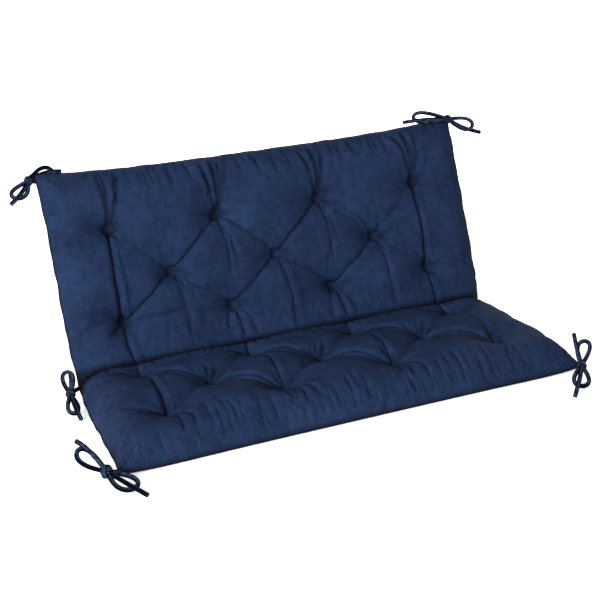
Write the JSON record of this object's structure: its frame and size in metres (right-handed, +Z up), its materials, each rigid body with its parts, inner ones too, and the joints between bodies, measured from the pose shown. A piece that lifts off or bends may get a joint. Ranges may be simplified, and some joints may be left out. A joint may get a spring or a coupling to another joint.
{
  "type": "bench cushion",
  "caption": "Tufted outdoor bench cushion, its seat and back joined at a fold, with tied strap bows at its corners and at the ends of the fold.",
  "frame": {"origin": "on the surface that the seat lies on, under the middle of the cushion's box", "axes": "+X along the bench, to the right of a person who looks at the back; -Y to the front of the seat; +Z up"},
  "size_m": [1.3768, 0.8555, 0.5776],
  "materials": {
    "cloth": "navy plain-woven polyester, matt",
    "strap": "navy woven strap, matt"
  },
  "bodies": {
    "root": {"cushion": "cloth", "tie_back_left": "strap", "tie_back_right": "strap", "tie_fold_left": "strap", "tie_fold_right": "strap", "tie_seat_left": "strap", "tie_seat_right": "strap"}
  },
  "joints": []
}
